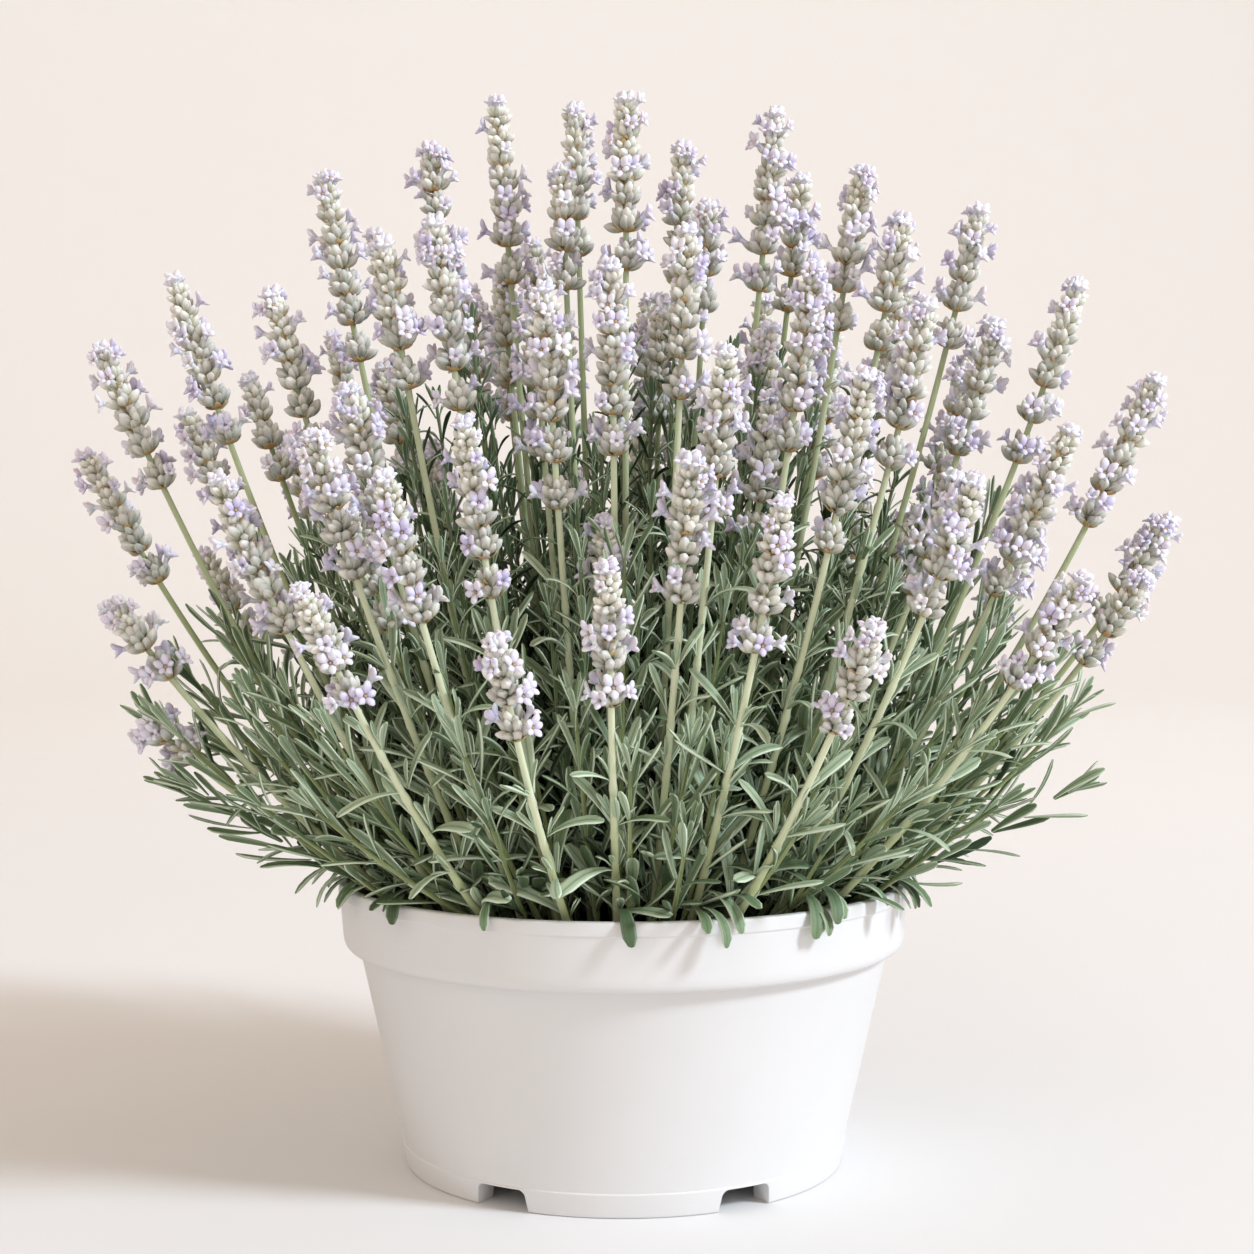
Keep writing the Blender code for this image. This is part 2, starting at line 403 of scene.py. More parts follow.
def clear_of_rim(item):
    """Whether a placed body keeps out of the wall of the pot."""
    shape, turn, place = item[:3]
    points = shape.points @ turn.T + place
    reach = np.hypot(points[:, 0], points[:, 1])
    low = points[:, 2] < POT_TOP + RIM_CLEAR
    return not np.any(low & (reach > POT_RADIUS - RIM_THICK) & (reach < POT_RADIUS + RIM_CLEAR))


def grow(name, settings, materials, smooth=True):
    """One mesh object of all the settings that keep clear of the pot."""
    settings = [item for item in settings if clear_of_rim(item)]
    kinds = {}
    for item in settings:
        kinds.setdefault((id(item[0]), item[4]), []).append(item)
    points, numbers, faces, flat, owners = [], [], [], [], []
    total, cell = 0, 0
    grid = math.ceil(math.sqrt(len(settings)))
    for items in kinds.values():
        shape, material = items[0][0], items[0][4]
        turns = np.array([item[1] for item in items])
        places = np.array([item[2] for item in items])
        tones = np.array([item[3] for item in items])
        count = len(items)
        turned_points = np.einsum("kij,nj->kni", turns, shape.points) + places[:, None]
        points.append(turned_points.reshape(-1, 3))
        numbers.append(np.stack([
            np.tile(shape.along, count), np.tile(shape.across, count),
            np.repeat(tones, len(shape.points)),
        ]))
        cells = np.arange(cell, cell + count)
        corner = np.stack([cells % grid, cells // grid], axis=1)[:, None]
        inner, patch = 1 - 2 * CELL_MARGIN, np.array(shape.flat)[None]
        flat.append(((corner + CELL_MARGIN + inner * patch) / grid).reshape(-1, 2))
        for step in range(count):
            offset = total + step * len(shape.points)
            faces += [tuple(offset + corner for corner in face) for face in shape.faces]
        owners.append(np.full(count * len(shape.faces), material))
        total += count * len(shape.points)
        cell += count
    mesh = bpy.data.meshes.new(name)
    mesh.from_pydata(np.vstack(points), [], faces)
    for label, values in zip(("along", "across", "tone"), np.hstack(numbers)):
        carried = mesh.attributes.new(label, "FLOAT", "POINT")
        carried.data.foreach_set("value", values.astype(np.float32))
    mesh.uv_layers.new(name="OFBake").data.foreach_set("uv", np.vstack(flat).ravel())
    mesh.polygons.foreach_set("material_index", np.concatenate(owners).astype(np.int32))
    mesh.polygons.foreach_set("use_smooth", np.full(len(mesh.polygons), smooth))
    for material in materials:
        mesh.materials.append(material)
    mesh.update()
    return put_in_scene(name, mesh)


# %% [markdown]
# ## The line of a stem
#
# A stem leans out from its foot and then turns upwards. One curve through three points says that,
# and the same curve gives the places and headings of everything that sits on the stem.

# %% Stem lines
STEM_BOW = 0.62
STEM_STEP = 7.0 * MM
STEM_SQUARE = 0.07
JOINT_SWELL = 0.22
JOINT_REACH = 1.6 * MM
JOINT_RINGS = (-2.2, 0.0, 2.2)


class Stem:
    """The line of a stem from foot to tip."""

    def __init__(self, foot, tip, bow=STEM_BOW):
        self.foot = Vector(foot)
        self.tip = Vector(tip)
        across = (self.tip - self.foot) * bow
        self.middle = self.foot + Vector((across.x, across.y, (self.tip.z - self.foot.z) / 2))
        self.length = (self.tip - self.foot).length
        self.turned = (self.tip - self.foot).orthogonal().normalized()

    def point(self, share):
        low = self.foot.lerp(self.middle, share)
        return low.lerp(self.middle.lerp(self.tip, share), share)

    def heading(self, share):
        low, high = self.middle - self.foot, self.tip - self.middle
        return low.lerp(high, share).normalized()

    def outward(self, share, angle):
        """A direction square to the stem, turned about it by an angle in radians."""
        along = self.heading(share)
        first = (self.turned - along * self.turned.dot(along)).normalized()
        return first * math.cos(angle) + along.cross(first) * math.sin(angle)

    def share_below(self, distance):
        return 1.0 - distance / self.length


def stem_body(line, low_radius, high_radius, joints=(), low=0.0, high=1.0, around=10):
    """A stem as a tube: faintly square, and a little swollen at each pair of leaves."""
    step = STEM_STEP / line.length
    shares = list(np.arange(low, high, step)) + [high]
    for joint in joints:
        shares += [joint + offset * MM / line.length for offset in JOINT_RINGS]
    shares = np.unique(np.clip(shares, low, high).round(5))
    angles = around_circle(around)
    square = 1.0 + STEM_SQUARE * np.cos(4 * angles)
    rings = []
    for share in shares:
        away = [(share - joint) * line.length / JOINT_REACH for joint in joints]
        swell = 1.0 + JOINT_SWELL * min(sum(math.exp(-part ** 2) for part in away), 1.0)
        radius = (low_radius + (high_radius - low_radius) * share) * swell
        center = np.array(line.point(share))
        first = np.array(line.outward(share, 0.0))
        second = np.array(line.outward(share, math.pi / 2))
        circle = np.outer(np.cos(angles) * square, first)
        circle += np.outer(np.sin(angles) * square, second)
        rings.append(center + radius * circle)
    return Shape(rings, line.point(shares[0]), line.point(shares[-1]), np.cos(2 * angles))


def as_is(shape, tone=0.5, material=0):
    """A shape that was made in place."""
    return shape, np.eye(3), np.zeros(3), tone, material


# %% [markdown]
# ## Leaf
#
# A lavender leaf is a narrow strap with a blunt tip. Its margins roll under, its midrib lies in a
# groove, and it bends away from the stem more or less. Seven bends are shaped, from nearly straight
# to hanging, and a leaf takes one of them.

# %% Leaf shapes
LEAF_ROWS = 7
LEAF_HALF_WIDTH = 0.076
LEAF_BENDS = (-14, 4, 18, 32, 50, 72, 100)
LEAF_ASIDE = (-0.12, 0.12)
LEAF_FINE = 60
LEAF_CURL = 1.4
LEAF_SECTION = (
    (-1.0, -0.08), (-0.58, 0.20), (0.0, -0.14), (0.58, 0.20),
    (1.0, -0.08), (0.64, -0.42), (0.0, -0.36), (-0.64, -0.42),
)


def leaf_shape(bend, sideways=0.0):
    """A leaf one unit long that bends back by an angle in degrees."""
    shares = 1.0 - (1.0 - np.linspace(0.02, 0.96, LEAF_ROWS)) ** 1.25
    fine = np.linspace(0, 1, LEAF_FINE)
    angles = np.radians(bend) * fine ** LEAF_CURL
    steps = np.stack([sideways * fine, -np.sin(angles), np.cos(angles)], axis=1)
    steps = steps / (LEAF_FINE - 1)
    line = np.vstack([[0, 0, 0], np.cumsum(steps, axis=0)[:-1]])
    section = np.array(LEAF_SECTION)
    rings = []
    for share in shares:
        center = np.array([np.interp(share, fine, line[:, axis]) for axis in range(3)])
        angle = np.radians(bend) * share ** LEAF_CURL
        face = np.array([0.0, math.cos(angle), math.sin(angle)])
        width = 0.34 + 0.66 * math.sin(math.pi / 2 * min(1.0, share / 0.74)) ** 1.5
        width *= math.sqrt(max(0.0, 1.0 - max(0.0, (share - 0.80) / 0.20) ** 2.6))
        half = LEAF_HALF_WIDTH * width
        ring = center + np.outer(section[:, 0] * half, (1, 0, 0))
        rings.append(ring + np.outer(section[:, 1] * half, face))
    return Shape(rings, line[0], line[-1], section[:, 0])


leaf_shapes = [leaf_shape(bend, aside) for bend in LEAF_BENDS for aside in LEAF_ASIDE]
print("leaf shapes:", len(leaf_shapes), "of", len(leaf_shapes[0].faces), "faces")


def leaf(place, direction, upper, size, bend=None, tone=0.5, width=1.0, material=0):
    """One leaf; bend picks the shape from straight (0) to hanging (6)."""
    kind = int(chance.integers(0, 4)) if bend is None else int(np.clip(bend, 0, 6))
    shape = leaf_shapes[2 * kind + int(chance.integers(0, 2))]
    width *= chance.uniform(0.85, 1.15)
    return setting(shape, place, direction, upper, size, width, tone, material)


# %% [markdown]
# ## Bud, bract and flower
#
# A bud is a plump grain with five faint ribs and a pale rounded tip. The flower that opens from it
# has a short tube and five lobes: two stand up like ears and three spread outwards, with a small
# orange throat in the middle. The bract is a papery scale under each ring of buds.

# %% Bud, bract and flower shapes
BUD_AROUND, BUD_ROWS = 10, 6
BUD_RIBS, BUD_RIB_DEPTH = 5, 0.10
BUDS = ((0.245, -0.06), (0.225, -0.12), (0.265, 0.02))
LOBE_AROUND = 6
TUBE = ((0.04, 0.055), (0.22, 0.085), (0.42, 0.100), (0.54, 0.135))
EAR_TURNS = (-0.55, 0.55)
EAR_LENGTH, EAR_HALF, EAR_THICK, EAR_OPEN = 0.50, 0.160, 0.080, 0.64
LIPS = ((-1.8, 0.32), (math.pi, 0.38), (1.8, 0.32))
LIP_HALF, LIP_THICK, LIP_OPEN = 0.130, 0.070, 0.90
OPENINGS = (1.0, 1.2, 0.75)


def bud_shape(plump, lean):
    """A bud one unit long."""
    angles = around_circle(BUD_AROUND)
    rings = []
    for share in np.linspace(0.03, 0.97, BUD_ROWS):
        body = math.sin(math.pi * min(1.0, share ** 1.05 * 0.96 + 0.035)) ** 0.60
        fading = 1.0 - min(1.0, max(0.0, share - 0.60) / 0.3)
        ribs = 1.0 + BUD_RIB_DEPTH * np.cos(BUD_RIBS * angles) * fading
        radius = plump * body * ribs
        center = (0.0, lean * share ** 2, share)
        ring = [np.cos(angles) * radius, np.sin(angles) * radius, np.zeros(BUD_AROUND)]
        rings.append(np.stack(ring, axis=1) + center)
    return Shape(rings, (0, 0, 0), (0, lean, 1.0), np.cos(BUD_RIBS * angles))


def lobe_shape(length, half_width, thickness, opening, turn, start, rows=5):
    """One lobe of a flower: a rounded paddle that leans out from the throat by an angle."""
    angles = around_circle(LOBE_AROUND)
    outward = np.array((math.sin(turn), math.cos(turn), 0.0))
    broad = np.array((math.cos(turn), -math.sin(turn), 0.0))
    direction = outward * math.sin(opening) + np.array(UP) * math.cos(opening)
    face = np.cross(broad, direction)
    rings = []
    for share in np.linspace(0.04, 0.96, rows):
        half = half_width * (0.38 + 0.62 * math.sin(math.pi / 2 * min(1.0, share / 0.6)))
        half *= math.sqrt(max(0.02, 1.0 - max(0.0, (share - 0.55) / 0.45) ** 2.2))
        curl = 0.12 * length * math.sin(math.pi * share)
        center = np.array(start) + direction * length * share + face * curl
        thick = min(thickness, 0.6 * half)
        ring = np.outer(np.cos(angles) * half, broad) + np.outer(np.sin(angles) * thick, face)
        rings.append(center + ring)
    return Shape(rings, start, np.array(start) + direction * length, np.cos(angles))


def flower_shape(open_wide):
    """An open flower one unit from its base to the tip of its ears."""
    angles = around_circle(LOBE_AROUND)
    circle = np.stack([np.cos(angles), np.sin(angles), np.zeros(LOBE_AROUND)], axis=1)
    tube = []
    for share, radius in TUBE:
        tube.append(circle * radius + (0, 0.05 * share, share))
    parts = [Shape(tube, (0, 0, 0), (0, 0.03, 0.49), np.cos(angles))]
    for turn in EAR_TURNS:
        start, opening = (0.12 * turn, 0.06, 0.47), EAR_OPEN * open_wide
        parts.append(lobe_shape(EAR_LENGTH, EAR_HALF, EAR_THICK, opening, turn, start))
    for turn, length in LIPS:
        start = (0.06 * math.sin(turn), 0.05 * math.cos(turn), 0.50)
        parts.append(lobe_shape(length, LIP_HALF, LIP_THICK, LIP_OPEN * open_wide, turn, start))
    return joined(parts)


bud_shapes = [bud_shape(plump, lean) for plump, lean in BUDS]
flower_shapes = [flower_shape(wide) for wide in OPENINGS]
bract_shape = lobe_shape(1.0, 0.34, 0.05, 0.0, 0.0, (0.0, 0.0, 0.0), rows=4)
grain_shape = bud_shape(0.45, 0.0)
print("flower of", len(flower_shapes[0].faces), "faces, bud of", len(bud_shapes[0].faces))

# %% [markdown]
# ## Leaf green
#
# The felted leaf is grey-green and pale where the margin rolls over, with painted shade darkening
# the groove. Short hairs make it dull. Its green follows a tone that is partly random and partly
# painted light: leaves deep in the plant are painted dark as shade, those in front and high up
# are painted light, and on these the pale margins and hairs are painted stronger as highlights.

# %% Leaf and stem finishes
# Leaf colours by tone, from painted shade at the dark end to painted light at the pale end.
LEAF_SHADES = (
    (0.0, (0.012, 0.032, 0.008)), (0.45, (0.116, 0.192, 0.080)), (1.0, (0.450, 0.560, 0.375)),
)
# The dark groove colour is painted shade in the groove along the midrib.
LEAF_HAIRS, LEAF_GROOVE_SHADE = (0.42, 0.50, 0.35), (0.050, 0.100, 0.036)
LEAF_MARGIN, LEAF_TIP = (0.72, 0.81, 0.63), (0.40, 0.42, 0.24)
# Stem colours by tone; front stems are painted lighter, as if lit.
STEM_SHADES = (
    (0.0, (0.062, 0.100, 0.030)), (0.5, (0.235, 0.290, 0.105)), (1.0, (0.600, 0.650, 0.360)),
)
# The rib colour is a painted highlight: pale stripes along the stem.
STEM_RIB_HIGHLIGHT, STEM_STAIN = (0.70, 0.72, 0.54), (0.16, 0.22, 0.09)
# The pale colour is a painted highlight on the upper part of front stems.
STEM_HIGHLIGHT, STEM_NECK = (0.84, 0.88, 0.66), (0.11, 0.14, 0.06)
LEAF_VEINS, STEM_STREAKS = (1.0, 1.0, 0.15), (1.0, 1.0, 0.08)


def mix_leaf():
    paint = Paint("leaf_felt", Roughness=0.62)
    across = paint.carried("across").size()
    along = paint.carried("along")
    tone = paint.carried("tone")
    margin = across.between(0.64, 0.92)
    # Painted shade: the groove along the midrib is darkened.
    groove = 1 - across.between(0.0, 0.30)
    blade = paint.ramp(tone, *LEAF_SHADES)
    # Tone carries painted light as well as random differences; hairs, margins and tips are painted
    # stronger on the leaves painted as lit.
    tone_and_light = tone.between(0.0, 0.70)
    felt = paint.grain(900.0, 2.0)
    blade = paint.blend(felt * tone_and_light * 0.32, blade, LEAF_HAIRS)
    blade = paint.blend(groove * 0.50, blade, LEAF_GROOVE_SHADE)
    blade = paint.blend(margin * (0.02 + 0.94 * tone_and_light), blade, LEAF_MARGIN)
    blade = paint.blend(along.between(0.93, 1.0) * tone_and_light * 0.5, blade, LEAF_TIP)
    veins = paint.grain(700.0, 2.0, 0.5, LEAF_VEINS)
    return paint.finish(Base_Color=blade, Normal=paint.relief(veins, 0.25 * MM, 0.5))


def mix_stem():
    paint = Paint("stem_green", Roughness=0.5)
    rib = paint.carried("across")
    tone = paint.carried("tone")
    skin = paint.ramp(tone, *STEM_SHADES)
    # Painted highlight: pale stripes along the ribs.
    skin = paint.blend(rib.between(0.2, 0.9) * 0.45, skin, STEM_RIB_HIGHLIGHT)
    skin = paint.blend(paint.grain(260.0, 3.0) * 0.30, skin, STEM_STAIN)
    along = paint.carried("along")
    # Painted highlight: front stems, by their high tone, turn pale from about a third of the way up.
    pale = along.between(0.30, 0.62) * tone.between(0.55, 0.95)
    skin = paint.blend(pale * 0.60, skin, STEM_HIGHLIGHT)
    skin = paint.blend(along.between(0.76, 0.88) * 0.6, skin, STEM_NECK)
    streaks = paint.grain(1200.0, 2.0, 0.5, STEM_STREAKS)
    return paint.finish(Base_Color=skin, Normal=paint.relief(streaks, 0.2 * MM, 0.4))


# %% [markdown]
# ## Bud, petal and bract colours
#
# Buds run from grey-green at the foot to a whitish tip. Petals are pale lilac, more violet near
# the throat, where a spot of amber sits. Both let a little light into themselves, which a small
# subsurface share gives. Bracts are papery and amber.

# %% Bud, petal and bract finishes
CUP_DARK, CUP_PALE = (0.225, 0.245, 0.160), (0.590, 0.570, 0.400)
BUD_RIB, BUD_DOWN = (0.76, 0.74, 0.67), (0.80, 0.78, 0.80)
TIP_DARK, TIP_PALE = (0.54, 0.53, 0.48), (0.98, 0.95, 0.87)
PETAL_SHADES = (
    (0.0, (0.600, 0.550, 0.740)), (0.5, (0.770, 0.725, 0.825)), (1.0, (0.900, 0.870, 0.870)),
)
PETAL_EDGE, PETAL_CLOUD = (0.90, 0.88, 0.95), (0.58, 0.53, 0.76)
AMBER_DARK, AMBER_PALE = (0.42, 0.20, 0.045), (0.66, 0.46, 0.19)
AMBER_TIP, AMBER_STAIN = (0.52, 0.47, 0.30), (0.25, 0.14, 0.05)


def mix_bud():
    paint = Paint("bud_down", Roughness=0.7, Subsurface_Weight=0.12, Subsurface_Scale=0.0015)
    along = paint.carried("along")
    tone = paint.carried("tone")
    rib = paint.carried("across")
    cup = paint.blend(tone, CUP_DARK, CUP_PALE)
    cup = paint.blend(rib.between(-0.2, 1.0) * 0.45, cup, BUD_RIB)
    tip = paint.blend(tone, TIP_DARK, TIP_PALE)
    colour = paint.blend(along.between(0.35, 0.95), cup, tip)
    colour = paint.blend(paint.grain(1400.0, 2.0) * 0.22, colour, BUD_DOWN)
    down = paint.grain(3000.0, 2.0)
    return paint.finish(Base_Color=colour, Normal=paint.relief(down, 0.15 * MM, 0.5))


def mix_petal():
    paint = Paint("petal_lilac", Roughness=0.55, Subsurface_Weight=0.2, Subsurface_Scale=0.002)
    along = paint.carried("along")
    tone = paint.carried("tone")
    lilac = paint.ramp(tone, *PETAL_SHADES)
    lilac = paint.blend(along.between(0.35, 1.0) * 0.35, lilac, PETAL_EDGE)
    lilac = paint.blend(paint.grain(800.0, 2.0) * 0.2, lilac, PETAL_CLOUD)
    veins = paint.grain(1500.0, 2.0, 0.5)
    return paint.finish(Base_Color=lilac, Normal=paint.relief(veins, 0.15 * MM, 0.4))


def mix_bract():
    paint = Paint("bract_amber", Roughness=0.6)
    along = paint.carried("along")
    tone = paint.carried("tone")
    amber = paint.blend(tone, AMBER_DARK, AMBER_PALE)
    amber = paint.blend(along.between(0.3, 1.0) * 0.6, amber, AMBER_TIP)
    amber = paint.blend(paint.grain(900.0) * 0.25, amber, AMBER_STAIN)
    return paint.finish(Base_Color=amber)


LEAF_GREEN = mix_leaf()
STEM_GREEN = mix_stem()
BUD = mix_bud()
PETAL = mix_petal()
BRACT = mix_bract()

# %% [markdown]
# ## A flower head
#
# Buds sit in rings, the whorls. Each whorl has an outer tier that leans far out and an inner tier
# that stands steeper, and some outer buds have opened. The lowest whorl sits apart on the stem, and
# the top ends in a small tuft with a few flowers standing up.

# %% Flower heads
BUD_LENGTH = 7.2 * MM
FLOWER_LENGTH = 11.0 * MM
WHORL_STEP = 9.3 * MM
WHORL_CLOSING = 0.22
LOW_WHORL = 10.0 * MM
WHORL_GAP = 7.0 * MM
WHORL_TIERS = ((9, 52, 0.0, 1.0), (8, 34, 2.4 * MM, 0.97), (5, 17, 5.0 * MM, 0.9))
LAST_WHORL = 9.5 * MM
TUFT_FOOT = 7.0 * MM
BRACTS = 12
BRACT_LENGTH = 4.2 * MM
LOW_HEAD = 74 * MM
OPEN_LOW, OPEN_HIGH = 0.36, 0.23
OPEN_BY_TIER = (1.0, 0.45, 0.0)
BUD_SCATTER = 0.5 * MM
BRACT_HIGH, BRACT_LOW = 3.4, -0.8
BUD_OUT, BRACT_OUT, TUFT_OUT = 0.9, 0.8, 0.6
THROAT = 1.7 * MM
TUFT_BUDS, TUFT_FLOWERS = 5, 4
MAT_STEM, MAT_BUD, MAT_PETAL, MAT_BRACT = 0, 1, 2, 3


def varied(middle, swing):
    """A share near a middle value, never under 0 or over 1."""
    return float(np.clip(middle + swing * chance.normal(), 0, 1))


def whorl(line, below, size, opened, height, parts):
    """One ring of buds whose foot is a distance below the tip of the stem."""
    share = line.share_below(below)
    axis = line.heading(share)
    start = chance.uniform(0, 2 * math.pi)
    for tier, (count, spread, lift, scale) in enumerate(WHORL_TIERS):
        for step in range(count):
            angle = start + tier + 2 * math.pi * (step + 0.22 * chance.normal()) / count
            out = line.outward(share, angle)
            lean = math.radians(spread + 7 * chance.normal())
            direction = axis * math.cos(lean) + out * math.sin(lean)
            foot = line.point(share) + axis * (lift + BUD_SCATTER * chance.normal())
            foot += out * BUD_OUT * MM
            bud = bud_shapes[int(chance.integers(0, 3))]
            tone = varied(0.22 + 0.55 * height, 0.24)
            length = BUD_LENGTH * size * scale * chance.uniform(0.86, 1.1)
            parts.append(setting(bud, foot, direction, axis, length, 1.0, tone, MAT_BUD))
            if chance.random() < opened * OPEN_BY_TIER[tier]:
                place = foot + direction * length * 0.45
                up = (direction + out * 0.25).normalized()
                flower = flower_shapes[int(chance.integers(0, 3))]
                tone = varied(0.5, 0.25)
                long = FLOWER_LENGTH * size * chance.uniform(0.8, 1.05)
                parts.append(setting(flower, place, up, axis, long, 1.0, tone, MAT_PETAL))
                parts.append(setting(
                    grain_shape, place + up * long * 0.47, up, axis, THROAT, 0.8, 0.5, MAT_BRACT
                ))
    for step in range(BRACTS):
        out = line.outward(share, start + 2 * math.pi * (step + 0.5) / BRACTS)
        high = step % 3 == 2
        direction = (axis * (1.6 if high else 0.55) + out).normalized()
        rise = BRACT_HIGH if high else BRACT_LOW
        foot = line.point(share) + out * BRACT_OUT * MM + axis * rise * MM
        tone = float(chance.uniform(0.6, 1.0) if high else chance.uniform(0.0, 0.6))
        length = BRACT_LENGTH * size * chance.uniform(0.75, 1.15)
        parts.append(setting(bract_shape, foot, direction, axis, length, 1.0, tone, MAT_BRACT))


def flower_head(line, head, openness):
    """All the buds, flowers and bracts of one stalk, as settings."""
    parts = []
    apart = [head]
    if head > LOW_HEAD:
        apart.append(head - LOW_WHORL - WHORL_GAP)
    for below in apart:
        whorl(line, below, 1.0, OPEN_LOW * openness, 0.1, parts)
    top = apart[-1] - LOW_WHORL - WHORL_GAP * 0.7
    count = max(3, round(top / WHORL_STEP))
    for step in range(count):
        height = step / (count - 1)
        size = 1.05 - 0.30 * height ** 2
        climbed = height * (1.0 + WHORL_CLOSING * (1.0 - height))
        below = top - (top - LAST_WHORL) * climbed
        whorl(line, below, size, OPEN_HIGH * openness, height, parts)
    share = line.share_below(TUFT_FOOT)
    axis = line.heading(share)
    for step in range(TUFT_BUDS):
        out = line.outward(share, 2 * math.pi * step / TUFT_BUDS + 0.4)
        direction = (axis + out * chance.uniform(0.15, 0.5)).normalized()
        foot = line.point(share) + out * TUFT_OUT * MM
        if step < TUFT_FLOWERS:
            tone = float(chance.uniform(0.45, 0.95))
            length = FLOWER_LENGTH * chance.uniform(0.80, 0.98)
            flower = flower_shapes[step % 3]
            parts.append(setting(flower, foot, direction, out * -1.0, length, 1.0, tone, MAT_PETAL))
        parts.append(setting(
            bud_shapes[0], foot, direction, axis, BUD_LENGTH * 0.7, 1.0, 0.85, MAT_BUD
        ))
    return parts


# %% [markdown]
# ## Leaves on a stem
#
# Leaves stand in pairs, each pair a quarter turn from the last. In the angle of each leaf sits a
# tuft of smaller ones, which makes the lower stem bushy. The top of a flower stalk, under its
# head, is bare.

# %% Leaf pairs
LEAF_OUT, SMALL_LEAF_OUT = 0.8, 1.2
SMALL_LEAF_WIDTH = 1.15


def leaning(axis, out, lean):
    """The heading of a leaf that leans out from its stem, and the side its face looks to."""
    heading = axis * math.cos(lean) + out * math.sin(lean)
    return heading, axis * math.sin(lean) - out * math.cos(lean)


def leaf_pair(line, share, size, spread, tone, parts, turn, tuft=2, bends=(1, 6), width=1.0):
    """Two opposite leaves, with small leaves between them and the stem."""
    axis = line.heading(share)
    place = line.point(share)
    for side in (0.0, math.pi):
        out = line.outward(share, turn + side + 0.2 * chance.normal())
        lean = math.radians(spread + 8 * chance.normal())
        direction, upper = leaning(axis, out, lean)
        shade = varied(tone, 0.18)
        length = size * chance.uniform(0.80, 1.12)
        bend = int(chance.integers(*bends))
        foot = place + out * LEAF_OUT * MM
        parts.append(leaf(foot, direction, upper, length, bend, shade, width))
        for step in range(tuft):
            lean = math.radians(spread * 0.45 + 9 * chance.normal())
            swing = line.outward(share, turn + side + 0.5 * chance.normal())
            direction, upper = leaning(axis, swing, lean)
            small = size * chance.uniform(0.38, 0.62)
            shade = varied(tone + 0.10, 0.14)
            foot = place + out * SMALL_LEAF_OUT * MM
            parts.append(leaf(foot, direction, upper, small, None, shade, SMALL_LEAF_WIDTH))


# %% [markdown]
# ## Flower stalks
#
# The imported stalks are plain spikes. Each one's rings of points give its line: where it stands,
# where its tip is and how long its head is. The buds, stem and leaves are grown along that line and
# stand for the plain solid. The stalks that are not in the frame follow the same rule, and fill the
# back and the middle of the plant.

# %% Reading the stalks
STALK_SIDES = 6
FOOT_SHARE = Vector((0.43, 0.57, 0.0))
HEAD_RADIUS = 3.5 * MM
HEAD_EXTRA = 4 * MM
SAME_POINT = 6
soil_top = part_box("soil")[1].z


def solid_points(node):
    """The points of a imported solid, each one once."""
    points = np.array([vert.co for vert in nodes[node].data.vertices])
    return np.unique(points.round(SAME_POINT), axis=0)


def stalk_line(node):
    """The line and the head length of a packed stalk, from the rings of its solid."""
    points = solid_points(node)
    chord = points[points[:, 2].argmax()] - points[points[:, 2].argmin()]
    rings = points[np.argsort(points @ chord)].reshape(-1, STALK_SIDES, 3)
    centers = rings.mean(axis=1)
    radii = np.linalg.norm(rings - centers[:, None], axis=2).mean(axis=1)
    wide = centers[radii > HEAD_RADIUS][0]
    line = Stem(centers[1], centers[-1])
    return line, float(np.linalg.norm(centers[-1] - wide)) + HEAD_EXTRA


stalks = {}
for name in sorted(nodes):
    if name.startswith("flower_stalk"):
        stalks[name] = stalk_line(name)
first_head = round(stalks["flower_stalk_01"][1] / MM, 1)
print(len(stalks), "stalks; the first head is", first_head, "mm long")

# %% [markdown]
# ## More stalks than the frame holds
#
# The places are the tips of the further stalks, chosen between the imported ones: x, y, z and
# the length of the head in millimetres. Twenty more stand in a sunflower spiral and fill the
# middle. On a real plant they are the younger stalks, a little shorter than those around them.

# %% Further stalks
MORE_STALKS = (
    (23, -140, 278, 52), (-99, -90, 305, 48), (-4, -106, 348, 68), (-88, -78, 359, 54),
    (105, -57, 371, 50), (147, -20, 335, 54), (35, 20, 388, 44), (-24, -30, 394, 46),
    (-80, 24, 412, 44), (-158, 40, 318, 46), (-183, -44, 180, 26), (11, 92, 357, 50),
    (-55, 104, 353, 50), (75, 42, 402, 56), (-20, 12, 426, 60), (150, 62, 330, 54),
    (-128, 84, 340, 54), (-70, 90, 362, 56), (95, 108, 330, 54), (30, 122, 322, 52),
    (-25, 140, 290, 50), (-120, 118, 272, 50), (60, 150, 262, 50), (130, 124, 262, 48),
    (182, 84, 252, 46), (-186, 84, 244, 46), (200, -48, 236, 44), (-70, 150, 250, 48),
)
FOOT_HIGH = 3 * MM
INNER_STALKS = 20
GOLDEN = math.radians(137.508)
INNER_WIDE, INNER_DEEP, INNER_BACK = 0.185, 0.140, 0.02
INNER_TOP, INNER_FALL, INNER_SCATTER = 0.352, 0.115, 0.012
INNER_HEADS = (44, 58)


def stalk_to(tip):
    """The line of a stalk that ends at tip, with its foot on the soil."""
    return Stem((tip.x * FOOT_SHARE.x, tip.y * FOOT_SHARE.y, soil_top + FOOT_HIGH), tip)


